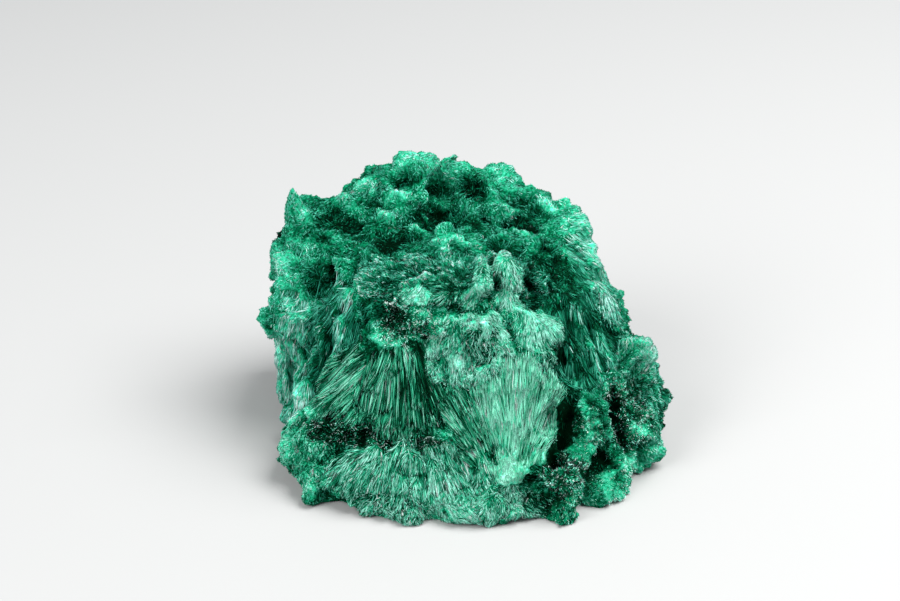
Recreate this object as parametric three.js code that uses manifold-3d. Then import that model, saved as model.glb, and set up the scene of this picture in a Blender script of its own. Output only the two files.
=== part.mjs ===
// A hand-sized specimen of velvet malachite: one grown mass of radiating sprays of blades, cut off flat
// where it rests. Units are millimetres. +Z is up, -Y is the broken front with its fans, and the origin is
// on the flat base, under the middle of the whole.
import * as THREE from "three";
import { ImprovedNoise } from "three/addons/math/ImprovedNoise.js";
import { mergeVertices } from "three/addons/utils/BufferGeometryUtils.js";
import Module from "manifold-3d";

const wasm = await Module();
wasm.setup();

// Driving dimensions
const TOP_REACH = 32.4; // from the middle of the base to the broad top, square to it
const HALF_WIDTH = 24; // from the middle to the left wall
const HALF_DEPTH = 28; // from the middle to the back wall
const FRONT_LEAN = 33; // degrees that the broken front leans back
const FRONT_REACH = 25.4; // from the middle of the base to the broken front, square to it
const MALACHITE_GREEN = 0x1f8f66;

// How the surface is made
const HEART = new THREE.Vector3(1, -5, 12); // every point of the surface can be seen from here
const WRAP_DETAIL = 13; // of the sphere that is drawn in on to the mass
const WRAP_START = 60; // where it starts from
const WRAP_STEPS = 90;
const WRAP_CLOSE = 0.01; // near enough to the surface
const EVENING_ROUNDS = 20;
const STEP_SHARE = 0.7; // of the distance that the field promises
const EDGE_ROUNDING = 5; // where two broken faces meet
const LUMP_BLEND = 1.6; // where a lump grows out of the mass
const PIT_BLEND = 1.0;
const SLOPE_STEP = 0.4; // for measuring which way the surface looks
const BELOW_BASE = 4; // the mass goes on under the base, and is trimmed off there

// The broken faces of the mass: where each looks, in degrees from the front round to the right and above
// the horizon, and how far it lies from the middle of the base.
const FACES = [
  { name: "front", around: 0, above: FRONT_LEAN, reach: FRONT_REACH },
  { name: "front_left", around: -50, above: 22, reach: 26.5 },
  { name: "front_right", around: 36, above: 24, reach: 25.6 },
  { name: "left", around: -92, above: 3, reach: HALF_WIDTH },
  { name: "right", around: 96, above: 26, reach: 31.5 },
  { name: "back_left", around: -140, above: 4, reach: 35.5 },
  { name: "back", around: 180, above: 2, reach: HALF_DEPTH },
  { name: "back_right", around: 138, above: 14, reach: 33.5 },
  { name: "top", around: 0, above: 84, reach: TOP_REACH },
  { name: "top_front", around: -6, above: 66, reach: 33.6 },
];

// Rounded lumps that have grown out of the mass: centre and half sizes.
const LUMPS = [
  { name: "back_hump", at: [-6, 20, 30], size: [10, 9, 10.6] },
  { name: "back_hump_right", at: [4.5, 19.5, 29], size: [8.4, 8.5, 9.8] },
  { name: "back_slope", at: [-4, 12, 27], size: [11, 9, 9.2] },
  { name: "back_ledge", at: [13, 18, 27], size: [7.5, 8, 8.5] },
  { name: "right_shoulder", at: [19, 14.5, 25], size: [6, 7.5, 8.5] },
  { name: "right_round", at: [24.5, 7.5, 18.5], size: [4.8, 6, 5.6] },
  { name: "left_back", at: [-20.5, 16.5, 26], size: [9.5, 8.5, 8.5] },
  { name: "left_back_low", at: [-24, 17, 14], size: [6, 8, 11] },
  { name: "left_middle", at: [-22.5, 7, 19.5], size: [7, 8, 9.5] },
  { name: "left_knob", at: [-28, 2, 18.6], size: [2.6, 2.8, 2.8] },
  { name: "top_left", at: [-13, 5, 28.5], size: [7.5, 7, 5.5] },
  { name: "top_left_front", at: [-14.5, -3, 26], size: [6.5, 5.5, 4.5] },
  { name: "top_middle", at: [-1, 5, 29], size: [7, 6, 6] },
  { name: "top_right", at: [9.5, 6, 28.5], size: [6, 5.5, 6] },
  { name: "top_right_low", at: [17, 5, 24.5], size: [6, 6.5, 6.5] },
  { name: "crest_arc", at: [-3.5, -7, 28.5], size: [8.5, 4.5, 5] },
  { name: "mint_fan", at: [-4, -9, 26], size: [7.5, 5, 4.5] },
  { name: "pale_fan", at: [13.5, -10, 22.5], size: [5, 5, 5] },
  { name: "saddle", at: [4.5, -11, 22], size: [6, 5, 6] },
  { name: "right_fan", at: [9.5, -10, 12], size: [10, 10.8, 13.4] },
  { name: "right_fan_root", at: [8.5, -23.5, 6], size: [4.4, 4.2, 4.6] },
  { name: "lower_tier", at: [-6, -20.5, 3.5], size: [14.5, 7.6, 6.8] },
  { name: "lower_left", at: [-18.5, -15.5, 5], size: [7.2, 7.8, 6.6] },
  { name: "right_lobe", at: [27.5, -2, 9], size: [7.6, 8.5, 8.5] },
  { name: "right_lobe_front", at: [28, -9, 5.5], size: [6.6, 7.2, 7.2] },
  { name: "right_druse", at: [21, -15, 8.5], size: [4.8, 7, 8] },
  { name: "lower_druse", at: [17.6, -22, 6], size: [5, 6.5, 6.4] },
  { name: "lower_druse_toe", at: [17.2, -27.4, 2], size: [3.4, 3.8, 3.6] },
  { name: "druse_foot", at: [24, -18, 2.2], size: [4.8, 6, 4.2] },
  { name: "left_toe", at: [-20.5, -22.5, 1.6], size: [2.2, 2.8, 2.4] },
  { name: "back_low", at: [2, 22, 13], size: [13, 8, 14] },
  { name: "back_low_right", at: [17, 20, 10], size: [7.5, 7, 9] },
  { name: "right_low", at: [25, 9, 7], size: [5.5, 8.5, 7] },
];

// Long folds and ribs, which run from one place to another: thickness at each end.
const FOLDS = [
  { name: "crest_left_point", from: [4.8, -6, 28], to: [5, -8, 33.2], thick: [3.2, 1.3] },
  { name: "crest_right_point", from: [10.2, -5.5, 27], to: [10.4, -7.5, 32], thick: [3.2, 1.4] },
  { name: "left_front_edge", from: [-9, -9, 27.5], to: [-21.5, -16, 7], thick: [2.4, 2.2] },
  { name: "left_fold_1", from: [-15, -6.5, 25], to: [-24, -10.5, 5], thick: [2.2, 2.0] },
  { name: "left_fold_2", from: [-19.5, -2, 23], to: [-24.8, -4.5, 4], thick: [2.4, 2.2] },
  { name: "left_fold_3", from: [-23.4, 2.5, 17], to: [-25, 2.5, 3], thick: [2.4, 2.4] },
  { name: "left_fold_4", from: [-24.4, 9, 14], to: [-25, 10, 3], thick: [2.6, 2.6] },
  { name: "left_horn", from: [-23, 18.5, 30], to: [-27.2, 20, 34.6], thick: [4, 2] },
  { name: "right_rib_1", from: [15, -3, 26], to: [20.5, -13, 14], thick: [1.8, 1.5] },
  { name: "right_rib_2", from: [18, -1, 25], to: [25.5, -11, 12], thick: [1.8, 1.6] },
  { name: "right_rib_3", from: [20.5, 3, 23.5], to: [28, -6, 14], thick: [1.7, 1.6] },
  { name: "right_wall_rib_1", from: [21.5, 12, 29], to: [27.5, 14, 12], thick: [1.8, 2.2] },
  { name: "right_wall_rib_2", from: [19.5, 18, 28], to: [24, 21, 10], thick: [1.8, 2.2] },
  { name: "ledge", from: [3, -27.4, 2], to: [13, -25, 7], thick: [1.8, 1.2] },
  { name: "ledge_strut", from: [12, -25.5, 5.6], to: [14.5, -26.5, 1], thick: [1.4, 1.3] },
  { name: "back_rib_1", from: [-12, 24, 28], to: [-13, 27.5, 5], thick: [2.4, 2.8] },
  { name: "back_rib_2", from: [-4, 26, 30], to: [-4, 28.5, 6], thick: [2.2, 2.6] },
  { name: "back_rib_3", from: [8, 25, 27], to: [9, 28, 8], thick: [2.2, 2.6] },
];

// Open pits, clefts and undercuts, given as folds are.
const PITS = [
  { name: "crevice", from: [18.6, -17.5, 17.5], to: [15.4, -25.5, 5], thick: [2.2, 2.8] },
  { name: "crest_slit", from: [7.6, -10, 29.5], to: [7.2, -4, 33], thick: [1, 1.6] },
  { name: "crest_slit_right", from: [13, -8, 28], to: [13, -2, 31], thick: [1, 1.6] },
  { name: "tier_undercut", from: [-19, -21.5, 11.2], to: [-5.5, -25.2, 11.8], thick: [1.4, 1] },
  { name: "top_cavity_left", from: [-8, 11, 35.5], to: [-2, 10.5, 35], thick: [3.6, 3.6] },
  { name: "top_cavity_right", from: [4.5, 11.5, 36], to: [9.5, 10.5, 34.5], thick: [3.4, 3.6] },
  { name: "top_cavity_back", from: [-1, 22, 41], to: [0, 16, 37], thick: [2, 2.6] },
  { name: "top_cavity_far", from: [9, 19, 39], to: [13.5, 12, 34.5], thick: [2.6, 3.2] },
  { name: "left_top_cleft", from: [-14, 16, 37], to: [-18, 7, 32], thick: [3.4, 3] },
  { name: "left_cleft", from: [-19, 0, 28], to: [-26, 0.5, 23.5], thick: [2.6, 2.4] },
  { name: "left_fold_hollow", from: [-18.5, -5, 22], to: [-25, -7.5, 8], thick: [1.2, 1] },
  { name: "left_wall_hollow", from: [-24, -1, 19], to: [-28, -1, 5], thick: [1, 1.2] },
  { name: "back_cleft", from: [-8.5, 30, 26], to: [-8.5, 32, 8], thick: [2, 2.4] },
  { name: "back_cleft_right", from: [14, 27, 26], to: [13, 30, 8], thick: [2, 2.4] },
];

// Sprays of coarse blades that lie along the surface, with how many blades each has. A fan has one root, and
// then where its first and last blades end. A curtain has the roots of its first and last blades, and then
// their ends.
const SPRAYS = [
  fan("left_fan", 14, [-9, -16.4, 22], [-22, -15, 12], [0, -24, 11]),
  fan("right_fan_left", 8, [9, -27, 7], [0.5, -21, 17], [9, -15, 25]),
  fan("right_fan_right", 7, [9, -27, 7], [10.5, -15, 25], [17.8, -18, 17]),
  fan("mint_fan", 6, [-1, -9, 30], [-10, -10, 28.5], [-2, -15, 25]),
  fan("pale_fan", 6, [11.5, -8, 29], [9.5, -15.5, 24.5], [18, -11, 24]),
  fan("saddle", 5, [5.5, -10, 30], [0, -16, 24], [7, -16, 24]),
  curtain("middle_band", 3, [0, -15, 24], [2, -15, 24], [0.5, -24.5, 11], [4, -26, 9]),
  curtain("lower_tier", 13, [-18, -20, 11], [5, -25, 9], [-19.5, -23, 2], [6, -29, 2]),
  curtain("lower_left", 4, [-19, -17, 12], [-22, -13, 12], [-21, -21, 3], [-27, -13, 3]),
  curtain("left_folds", 7, [-10, -9, 28], [-19, -1, 26], [-24, -15, 6], [-27.5, -3, 4]),
  curtain("left_wall", 5, [-25, 3, 21], [-27, 13, 22], [-27.5, 2, 3], [-28, 14, 3]),
  curtain("right_ribs", 9, [14, -5, 29], [18, 3, 29], [21.5, -16, 11], [30, -2, 16]),
  curtain("right_wall", 5, [18, 11, 33], [17, 20, 32], [28, 9, 15], [26, 20, 10]),
  curtain("back_wall", 9, [-13, 22, 34], [8, 24, 34], [-17, 28, 5], [10, 31, 5]),
  curtain("back_left", 4, [-23, 18, 33], [-16, 22, 34], [-29, 20, 5], [-19, 28, 5]),
  curtain("back_right", 5, [11, 22, 33], [18, 19, 32], [12, 30, 6], [23, 23, 6]),
];
const BLADE_OVERLAP = 0.75; // half the width of a blade, as a share of the distance between two
const BLADE_FLATNESS = 0.75; // its height above its edges, as a share of half its width
const BLADE_KEEL = 2.4; // its depth below them
const BLADE_SINK = 0.7; // of its root below the surface
const BLADE_RISE = -0.2; // of the edges of its end above it
const BLADE_LIFT = 1.2; // at most, where the surface bulges under a blade
const WIDTH_SPREAD = [0.8, 1.2];
const SIDE_SCATTER = 0.6; // from its place in the row, as a share of the distance between two
const END_SCATTER = 2.6; // of the ends, along the blades

// Patches of stout crystals that point out of the surface.
const DRUSES = [
  { name: "dark_hollow", at: [-8, -14, 25.5], width: 2.5, points: 4 },
  { name: "crest", at: [12, -7, 31], width: 4, points: 4 },
  { name: "right_lobe", at: [33, -5, 9], width: 6, points: 10 },
  { name: "right_lobe_foot", at: [29, -15, 4], width: 4, points: 5 },
  { name: "lower_druse", at: [18.5, -27, 6], width: 5, points: 10 },
];
const POINT_HALF_LENGTH = [2.4, 3.5];
const POINT_RADIUS = [1.5, 2.6];
const POINT_SINK = 1.5; // of its middle below the surface
const POINT_TILT = 0.8; // sideways, for each unit outwards

const RANDOM_SEED = 3;
const TRIM_SIDE = 240; // of the block that trims the base off

// Surface relief: size across and height of each grade of bumps.
const BUMPS = [
  { across: 9, height: 1.2 },
  { across: 4.8, height: 0.9 },
];
const ROUGH_BEHIND = 1.9; // the bumps are this much higher behind the front
const ROUGH_FROM = [-14, -2];

function curtain(name, blades, firstRoot, lastRoot, firstEnd, lastEnd) {
  return { name, blades, roots: [firstRoot, lastRoot], ends: [firstEnd, lastEnd] };
}

function fan(name, blades, root, firstEnd, lastEnd) {
  return curtain(name, blades, root, root, firstEnd, lastEnd);
}

const noise = new ImprovedNoise();

// The same numbers each time, from 0 to 1.
function makeRandom(seed) {
  let state = seed;
  return () => {
    state = (state * 1664525 + 1013904223) % 4294967296;
    return state / 4294967296;
  };
}

function between([low, high], random) {
  return THREE.MathUtils.lerp(low, high, random());
}

function scatter(reach, random) {
  const one = () => reach * THREE.MathUtils.lerp(-1, 1, random());
  return new THREE.Vector3(one(), one(), one());
}

function smoothMin(a, b, blend) {
  const h = Math.max(blend - Math.abs(a - b), 0) / blend;
  return Math.min(a, b) - (h * h * blend) / 4;
}

function smoothMax(a, b, blend) {
  return -smoothMin(-a, -b, blend);
}

// The direction that a face looks in.
function outward({ around, above }) {
  const turn = THREE.MathUtils.degToRad(around);
  const rise = THREE.MathUtils.degToRad(above);
  return new THREE.Vector3(
    Math.sin(turn) * Math.cos(rise),
    -Math.cos(turn) * Math.cos(rise),
    Math.sin(rise),
  );
}

const faces = FACES.map((face) => ({ normal: outward(face), reach: face.reach }));
const lumps = LUMPS.map((lump) => ({
  centre: new THREE.Vector3(...lump.at),
  size: new THREE.Vector3(...lump.size),
}));

// A fold or pit as a line with a thickness.
function asRun({ from, to, thick }) {
  return {
    line: new THREE.Line3(new THREE.Vector3(...from), new THREE.Vector3(...to)),
    thick,
  };
}

const folds = FOLDS.map(asRun);
const pits = PITS.map(asRun);

// Each of these gives about how far a point is outside a form, and less than nothing inside it.
function fromLump(point, { centre, size }) {
  const unit = point.clone().sub(centre).divide(size);
  const slope = unit.clone().divide(size).length();
  const length = unit.length();
  return slope === 0 ? -Math.min(size.x, size.y, size.z) : (length * (length - 1)) / slope;
}

function fromRun(point, { line, thick }) {
  const share = line.closestPointToPointParameter(point, true);
  const nearest = line.at(share, new THREE.Vector3());
  return point.distanceTo(nearest) - THREE.MathUtils.lerp(thick[0], thick[1], share);
}

function relief(point) {
  const bumps = BUMPS.reduce((sum, { across, height }) => {
    return sum + height * noise.noise(point.x / across, point.y / across, point.z / across);
  }, 0);
  const behind = THREE.MathUtils.smoothstep(point.y, ...ROUGH_FROM);
  return bumps * THREE.MathUtils.lerp(1, ROUGH_BEHIND, behind);
}

function fromSpecimen(point) {
  let far = -BELOW_BASE - point.z;
  for (const face of faces) far = smoothMax(far, face.normal.dot(point) - face.reach, EDGE_ROUNDING);
  for (const lump of lumps) far = smoothMin(far, fromLump(point, lump), LUMP_BLEND);
  for (const fold of folds) far = smoothMin(far, fromRun(point, fold), LUMP_BLEND);
  for (const pit of pits) far = smoothMax(far, -fromRun(point, pit), PIT_BLEND);
  far = Math.max(far, -BELOW_BASE - point.z);
  return far - relief(point);
}

// The outermost point of the surface from the heart in one direction.
function surfaceAlong(direction) {
  const point = HEART.clone().addScaledVector(direction, WRAP_START);
  for (let i = 0; i < WRAP_STEPS; i++) {
    const far = fromSpecimen(point);
    if (far < WRAP_CLOSE) break;
    point.addScaledVector(direction, -STEP_SHARE * far);
  }
  return point;
}

function surfaceNear(place) {
  return surfaceAlong(place.clone().sub(HEART).normalize());
}

function normalAt(point) {
  const slope = (axis) => {
    const step = new THREE.Vector3().setComponent(axis, SLOPE_STEP);
    return fromSpecimen(point.clone().add(step)) - fromSpecimen(point.clone().sub(step));
  };
  return new THREE.Vector3(slope(0), slope(1), slope(2)).normalize();
}

// A geometry with shared corners.
function weld(geometry) {
  const bare = geometry.index ? geometry.toNonIndexed() : geometry.clone();
  bare.deleteAttribute("normal");
  bare.deleteAttribute("uv");
  return mergeVertices(bare, 1e-4);
}

// A closed geometry as a solid that can be joined and cut.
function toSolid(geometry) {
  const { attributes, index } = weld(geometry);
  return new wasm.Manifold(
    new wasm.Mesh({
      numProp: 3,
      vertProperties: new Float32Array(attributes.position.array),
      triVerts: new Uint32Array(index.array),
    }),
  );
}

function toGeometry(solid) {
  const mesh = solid.getMesh();
  return new THREE.BufferGeometry()
    .setAttribute("position", new THREE.BufferAttribute(mesh.vertProperties, 3))
    .setIndex(new THREE.BufferAttribute(mesh.triVerts, 1));
}

// The corners that each corner is joined to.
function neighboursOf({ index, attributes }) {
  const neighbours = Array.from({ length: attributes.position.count }, () => new Set());
  for (let i = 0; i < index.count; i += 3) {
    const corners = [index.getX(i), index.getX(i + 1), index.getX(i + 2)];
    for (const corner of corners) {
      for (const other of corners) if (other !== corner) neighbours[corner].add(other);
    }
  }
  return neighbours;
}

// The outermost shell alone, so that a gap which blades have closed off is filled.
function outerShell(geometry) {
  const { index, attributes } = geometry;
  const neighbours = neighboursOf(geometry);
  let highest = 0;
  for (let i = 0; i < attributes.position.count; i++) {
    if (attributes.position.getZ(i) > attributes.position.getZ(highest)) highest = i;
  }
  const reached = new Set([highest]);
  for (const corner of reached) {
    for (const other of neighbours[corner]) reached.add(other);
  }
  const corners = Array.from(index.array);
  return geometry.setIndex(corners.filter((_, i) => reached.has(corners[i - (i % 3)])));
}

// The mass: a finely faceted sphere, drawn in on to the surface, and then evened out by moving each corner
// towards the middle of its neighbours.
function makeMass() {
  const sphere = weld(new THREE.IcosahedronGeometry(1, WRAP_DETAIL));
  const position = sphere.attributes.position;
  const neighbours = neighboursOf(sphere);
  let corners = neighbours.map((_, i) => {
    return surfaceAlong(new THREE.Vector3().fromBufferAttribute(position, i));
  });
  for (let round = 0; round < EVENING_ROUNDS; round++) {
    corners = neighbours.map((near) => {
      const middle = new THREE.Vector3();
      for (const other of near) middle.addScaledVector(corners[other], 1 / near.size);
      return surfaceNear(middle);
    });
  }
  corners.forEach((corner, i) => position.setXYZ(i, ...corner));
  return toSolid(sphere);
}

// A form of unit size, laid from one place to another with one side to the surface.
function layForm(form, start, end, normal, width, thickness) {
  const along = end.clone().sub(start);
  const across = along.clone().cross(normal).normalize();
  const proud = across.clone().cross(along).normalize();
  const place = new THREE.Matrix4()
    .makeBasis(across, along.clone().normalize(), proud)
    .setPosition(start.clone().lerp(end, 0.5))
    .scale(new THREE.Vector3(width, along.length() / 2, thickness));
  return toSolid(form.clone().applyMatrix4(place));
}

// A blade has its point at the root, widens towards a blunt end, and goes down into the mass as a keel.
const BLADE = new THREE.ConeGeometry(1, 2, 4).rotateX(Math.PI);
const bladeCorners = BLADE.attributes.position;
for (let i = 0; i < bladeCorners.count; i++) {
  const height = bladeCorners.getZ(i);
  bladeCorners.setZ(i, height * (height > 0 ? BLADE_FLATNESS : BLADE_KEEL));
}
const CRYSTAL = new THREE.OctahedronGeometry(1);

function makeSpray({ roots, ends, blades }, random) {
  const [firstRoot, lastRoot] = roots.map((at) => new THREE.Vector3(...at));
  const [firstEnd, lastEnd] = ends.map((at) => new THREE.Vector3(...at));
  const spacing = firstEnd.distanceTo(lastEnd) / (blades - 1);
  return Array.from({ length: blades }, (_, i) => {
    const share = (i + SIDE_SCATTER * (random() - 0.5)) / (blades - 1);
    const root = surfaceNear(firstRoot.clone().lerp(lastRoot, share));
    const aim = firstEnd.clone().lerp(lastEnd, share);
    const stretch = (END_SCATTER * (random() - 0.5)) / aim.distanceTo(root);
    const end = surfaceNear(aim.lerp(root, stretch));
    const rootNormal = normalAt(root);
    const endNormal = normalAt(end);
    const normal = rootNormal.clone().add(endNormal).normalize();
    const middle = root.clone().lerp(end, 0.5);
    const bulge = surfaceNear(middle).sub(middle).dot(normal);
    const lift = THREE.MathUtils.clamp(bulge, 0, BLADE_LIFT);
    root.addScaledVector(rootNormal, lift - BLADE_SINK);
    end.addScaledVector(endNormal, lift + BLADE_RISE);
    const width = spacing * BLADE_OVERLAP * between(WIDTH_SPREAD, random);
    return layForm(BLADE, root, end, normal, width, width);
  });
}

function makeDruse({ at, width, points }, random) {
  const centre = new THREE.Vector3(...at);
  return Array.from({ length: points }, () => {
    const middle = surfaceNear(centre.clone().add(scatter(width, random)));
    const normal = normalAt(middle);
    const along = normal.clone().add(scatter(POINT_TILT, random));
    along.setLength(between(POINT_HALF_LENGTH, random));
    middle.addScaledVector(normal, -POINT_SINK);
    const radius = between(POINT_RADIUS, random);
    const side = scatter(1, random).cross(along).normalize();
    return layForm(CRYSTAL, middle.clone().sub(along), middle.clone().add(along), side, radius, radius);
  });
}

// The floor side is trimmed off flat, so that the specimen rests on it.
function makeTrim() {
  return toSolid(new THREE.BoxGeometry(TRIM_SIDE, TRIM_SIDE, TRIM_SIDE).translate(0, 0, -TRIM_SIDE / 2));
}

function makeSpecimen() {
  const random = makeRandom(RANDOM_SEED);
  let solid = makeMass();
  for (const spray of SPRAYS) {
    for (const blade of makeSpray(spray, random)) solid = solid.add(blade);
  }
  for (const druse of DRUSES) {
    for (const crystal of makeDruse(druse, random)) solid = solid.add(crystal);
  }
  return solid.subtract(makeTrim());
}

// The places above are measured from a point on the base, and the origin is moved from there to under the
// middle of the whole.
function centreOnBase(geometry) {
  geometry.computeBoundingBox();
  const middle = geometry.boundingBox.getCenter(new THREE.Vector3());
  return geometry.translate(-middle.x, -middle.y, 0);
}

const malachite = new THREE.Mesh(
  centreOnBase(outerShell(toGeometry(makeSpecimen()))),
  new THREE.MeshStandardMaterial({ color: MALACHITE_GREEN, roughness: 0.6, metalness: 0 }),
);
malachite.name = "malachite";

const specimen = new THREE.Group();
specimen.add(malachite);

export default specimen;
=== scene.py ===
"""Velvet malachite specimen: a fluted rock under sprays, mats and crusts of hair-fine green needles."""

import math
from collections import namedtuple
from functools import cache
from itertools import product

import bmesh
import bpy
import numpy as np
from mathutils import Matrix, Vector
from mathutils.bvhtree import BVHTree
from mathutils.kdtree import KDTree


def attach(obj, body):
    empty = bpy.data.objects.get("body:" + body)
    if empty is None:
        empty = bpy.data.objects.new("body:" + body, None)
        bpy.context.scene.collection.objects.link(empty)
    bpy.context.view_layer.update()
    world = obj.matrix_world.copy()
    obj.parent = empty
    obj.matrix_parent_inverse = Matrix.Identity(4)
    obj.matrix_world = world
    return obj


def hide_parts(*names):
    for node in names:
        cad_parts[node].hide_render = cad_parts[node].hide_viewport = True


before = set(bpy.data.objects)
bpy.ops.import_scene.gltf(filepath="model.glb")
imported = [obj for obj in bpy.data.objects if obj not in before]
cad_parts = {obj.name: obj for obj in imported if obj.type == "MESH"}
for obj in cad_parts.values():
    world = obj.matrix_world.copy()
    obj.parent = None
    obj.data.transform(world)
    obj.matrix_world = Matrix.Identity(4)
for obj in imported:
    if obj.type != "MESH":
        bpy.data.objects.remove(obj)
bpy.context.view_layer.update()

NODE = "malachite"
BODY = "root"
MM = 0.001
TINY = 1e-9
RANDOM = np.random.default_rng(7)

# The camera stands where the photo was taken from, in metres. The photo's size is in pixels.
CAMERA_PLACE = (-0.00315, -0.33019, 0.185)
CAMERA_PITCH = math.radians(26)
CAMERA_LENS = 90
SENSOR = 36
CLIP_START = 0.01
PHOTO_WIDTH = 900
PHOTO_HEIGHT = 601
FOCAL_PIXELS = PHOTO_WIDTH * CAMERA_LENS / SENSOR

# The floor and the lights, in metres. A light has a name, a place, a size and a power.
FLOOR_SIDE = 3.0
FLOOR_ROUGHNESS = 0.6
FLOOR_COLOUR = (0.39, 0.39, 0.385, 1)
LIGHT_AIM = (0, 0, 0.02)
LIGHTS = [
    ("key", (0.34, 0.0, 0.60), 0.55, 9.8),
    ("left_fill", (-0.5, -0.45, 0.5), 0.5, 7),
]
WORLD_COLOUR = (0.9, 0.95, 1, 1)
WORLD_STRENGTH = 0.40

# The rock under the needles. Every place and size from here on is in millimetres.
VOXEL = 0.51
MERGE_REACH = 0.001
ROCK_EVENING = 4
NEEDLE_COAT = 0.3
FLAT_BASE = 0.3
BASE_CLEARANCE = 0.04

# Lumps of the open surface: how far apart they grow, how high they stand and how deep their sprays begin.
LUMP_SPACING = 4.6
LUMP_TRIES = 6000
LUMP_HEIGHT = 1.4
LUMP_UNEVEN = 0.9
LUMP_ROOT_DEPTH = 2.6
LUMP_ROOT_ASIDE = 2.6
DOME_MIDDLE = 0.75
HOLLOW_SHARE = 0.16
HOLLOW_DEPTH = 0.8
CRUMB_SIZE = 1.9
CRUMB_HEIGHT = 0.8
CRUMB_UNEVEN = 0.5
CRUMB_STEEPNESS = 1.9
CAVITY_DEPTH = 2.0
CAVITY_START = 0.42

# Noise that moves borders: its size, how far it moves them and its seed.
ZONE_DRIFTS = [(4.0, 1.0, 8), (2.0, 0.8, 11), (0.9, 0.4, 14)]
MARK_DRIFT = (1.6, 0.45, 17)
LUMP_DRIFT = (2.2, 0.8, 31)
CRUMB_DRIFT = (0.9, 0.35, 35)

# Noise that shapes or colours the rock: its size, its height and its seed. Cavities have a size and a seed.
CAVITIES = (2.6, 37)
FLUTES = [(0.8, 1.0, 41), (0.4, 0.6, 43)]
ROCK_SWELLS = [(6.0, 0.45, 51), (2.2, 0.30, 53), (1.0, 0.15, 55)]
TONE_SWELLS = [(4.0, 0.11, 71), (1.3, 0.10, 73)]

# Flutes are round noise in a space that is shorter along the needles: where it starts, and its scale.
SQUEEZE_START = 8
SQUEEZE_SHARE = 0.22

# Large numbers that mix up the noise's cells, and the shifts between them.
AXIS_PRIMES = (73856093, 19349663, 83492791)
SEED_PRIME = 7919
SEED_START = 12345
MIXERS = ((13, 1274126177), (16, 2246822519))
LAST_SHIFT = 15
LOW_BITS = 0xFFFFFF

# Needles are tried all over the rock, and crowding keeps some of them. They grow in bundles.
NEEDLE_TRIES = 900_000
NEEDLES_IN_STRAND = 5
STRANDS_IN_SHEAF = 20
FEATHER = 0.25
FACING_DOWN = -0.4

# What a needle shares with its sheaf, what with its strand and what is its own.
TURN_SHARES = (0.40, 0.35, 0.28)
TONE_SHARES = (0.4, 0.9, 0.7)
RISE_SHARES = (0.7, 0.3)

# The needles' lengths and how they lie.
STRAND_SIZES = (0.75, 1.25)
SHORT_POWER = 1.5
STAY_STEPS = 3
STAY_SHARE = 0.65
STANDING_LEAN = 0.35
SHORTER_SHARES = (1, 0.6, 0.35, 0.2)
BRIDGE_LIMIT = 0.22
FOOT_LIFT = 0.7
LYING_FOOT_DEPTH = 0.1
STANDING_FOOT_DEPTH = 0.15

# A needle's four triangles, and its points' places across and along its own strip of the map.
NEEDLE_MAP = "OFBake"
SLIVER_FACES = np.array([(0, 2, 1), (0, 1, 3), (1, 2, 3), (2, 0, 3)])
SLIVER_ACROSS = np.array([-1, 1, 0, 0])
SLIVER_ALONG = np.array([0.01, 0.01, 0.06, 0.99])
SHADE_WIDTH = 0.004

# Tones run from 0, black green, to 1, white mint. What stands high is painted paler, as painted light, what
# lies low or in a hollow lump is painted darker, as painted shade, and the rock under needles is painted
# darker, as painted shade between them.
LEVEL_PAINTED_LIGHT_AND_SHADE = 0.14
LOW_LEVEL = -2.0
HIGH_LEVEL = 1.2
HOLLOW_SHADE = 0.16
SHADE_UNDER_LYING = 0.26
SHADE_UNDER_STANDING = 0.14
# A glint is a painted highlight: this much paler tone on a share of the needles.
GLINT = 0.40
DARKEST = 0.02
PALEST = 0.98

# Open velvet is the top's above a slope that falls towards the front, and the back's beyond a distance.
TOP_START = 30
TOP_SLOPE = 0.35
BACK_START = 12

# The colours by tone, in linear light: greens fill the first part of the map, and dusty greys the rest.
GREEN_END = 0.70
DUST_START = 0.76
GREENS = [
    (0.00, (0.0001, 0.004, 0.0012)),
    (0.20, (0.0003, 0.030, 0.011)),
    (0.38, (0.0012, 0.130, 0.056)),
    (0.54, (0.016, 0.31, 0.166)),
    (0.70, (0.062, 0.53, 0.333)),
    (0.85, (0.14, 0.76, 0.52)),
    (1.00, (0.50, 0.93, 0.80)),
]
DUSTS = [
    (0.00, (0.002, 0.002, 0.003)),
    (0.30, (0.010, 0.016, 0.016)),
    (0.60, (0.10, 0.17, 0.15)),
    (0.80, (0.28, 0.42, 0.37)),
    (1.00, (0.75, 0.88, 0.84)),
]

# How much of the red and the blue of these greens each piece keeps. The fans are the purest green.
PURITY = {
    "front_fans": (0.78, 0.91),
    "front_mats": (0.88, 0.97),
    "top_velvet": (1.30, 1.10),
    "left_side": (1.35, 1.12),
    "right_side": (1.15, 1.06),
    "back_side": (1.25, 1.08),
    "crystal_crusts": (1.00, 1.04),
}

# The finish of needles and rock. A needle's foot is painted darker, as painted shade, and towards its tip it
# is painted paler than its tone, as painted light.
Look = namedtuple("Look", "roughness foot_shade")
FIBRE_LOOK = Look(0.35, 0.30)
CRYSTAL_LOOK = Look(0.2, 0.6)
CLEAR_FROM = 0.7
TIP_PAINTED_LIGHT = 1.15
NEEDLE_GLOSS = 0.05
ROCK_GLOSS = 0.03
ROCK_ROUGHNESS = 0.8
GLOSS_TINT = (0.12, 1.0, 0.6, 1)
GRAINS_IN_METRE = 2200
GRAIN_DETAIL = 4
GRAIN_RANGE = (0.32, 0.68)
GRAIN_TONES = (-0.22, 0.08)
BUMP_STRENGTH = 0.6
BUMP_DEPTH = 0.2

# What is worked out for all needles at once, and the bundles that they are in.
Needles = namedtuple("Needles", "place normal under level zone root hollow")
Bundles = namedtuple("Bundles", "leaders strand heads sheaf")

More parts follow.
